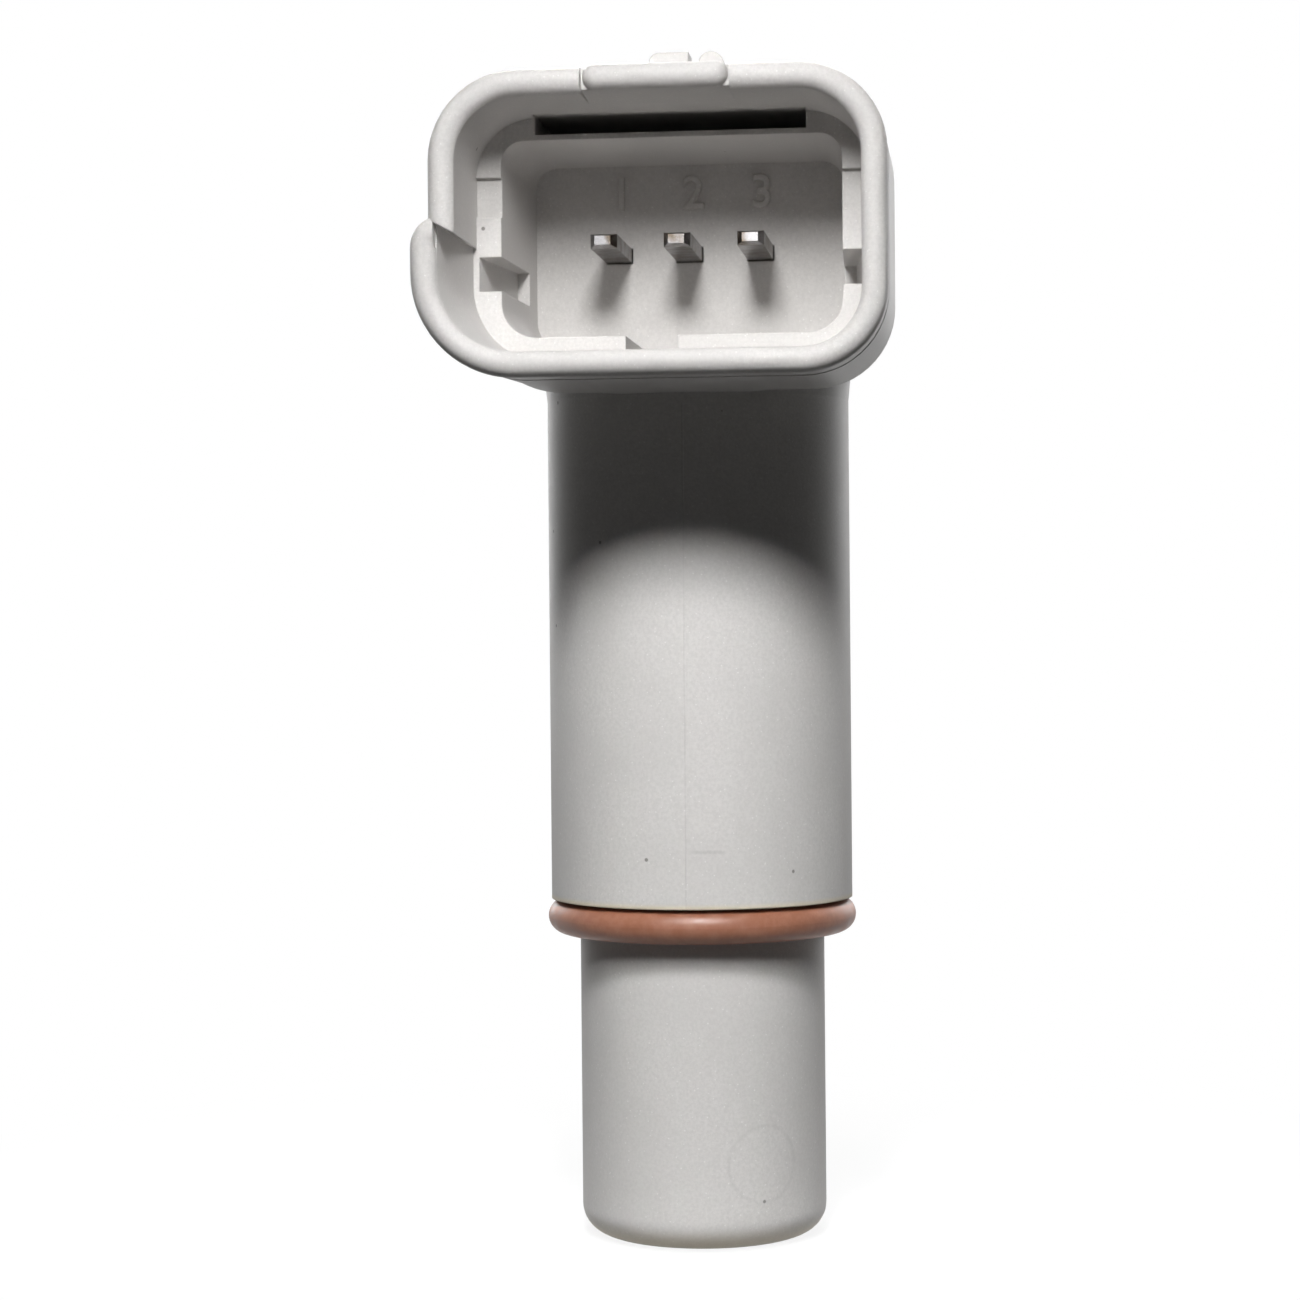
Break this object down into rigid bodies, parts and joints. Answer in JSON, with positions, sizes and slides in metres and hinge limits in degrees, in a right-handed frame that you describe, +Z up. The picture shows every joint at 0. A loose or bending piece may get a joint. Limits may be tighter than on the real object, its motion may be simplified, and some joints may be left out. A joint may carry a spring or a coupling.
{
  "type": "crankshaft position sensor",
  "caption": "Moulded plug-in engine speed sensor: round probe with a rubber seal ring, bolted mounting ear and a keyed blade connector socket.",
  "frame": {"origin": "on the barrel's axis, in the seat plane under the connector and the mounting ear", "axes": "+Z up along the barrel's axis, away from the sensing tip; -Y out of the connector's mouth; +X to the right when looking into the mouth"},
  "size_m": [0.0254, 0.0494, 0.0667],
  "materials": {
    "housing_plastic": "fine-grained light grey glass-filled plastic, satin",
    "seal_rubber": "brown moulded rubber, slightly shiny",
    "bush_steel": "turned zinc-plated steel",
    "terminal_tin": "stamped brass, tin-plated",
    "carrier_plastic": "dark glass-filled plastic",
    "magnet_alloy": "sintered magnet, dull grey",
    "plate_steel": "blanked steel",
    "chip_epoxy": "black moulding compound",
    "lead_tin": "tinned copper alloy",
    "capacitor_ceramic": "ceramic block with tinned ends"
  },
  "bodies": {
    "root": {"housing": "housing_plastic", "o_ring": "seal_rubber", "mount_bush": "bush_steel", "terminal_1": "terminal_tin", "terminal_2": "terminal_tin", "terminal_3": "terminal_tin", "carrier": "carrier_plastic", "magnet": "magnet_alloy", "pole_plate": "plate_steel", "hall_chip": "chip_epoxy", "hall_lead_1": "lead_tin", "hall_lead_2": "lead_tin", "hall_lead_3": "lead_tin", "capacitor_1": "capacitor_ceramic", "capacitor_2": "capacitor_ceramic"}
  },
  "joints": []
}
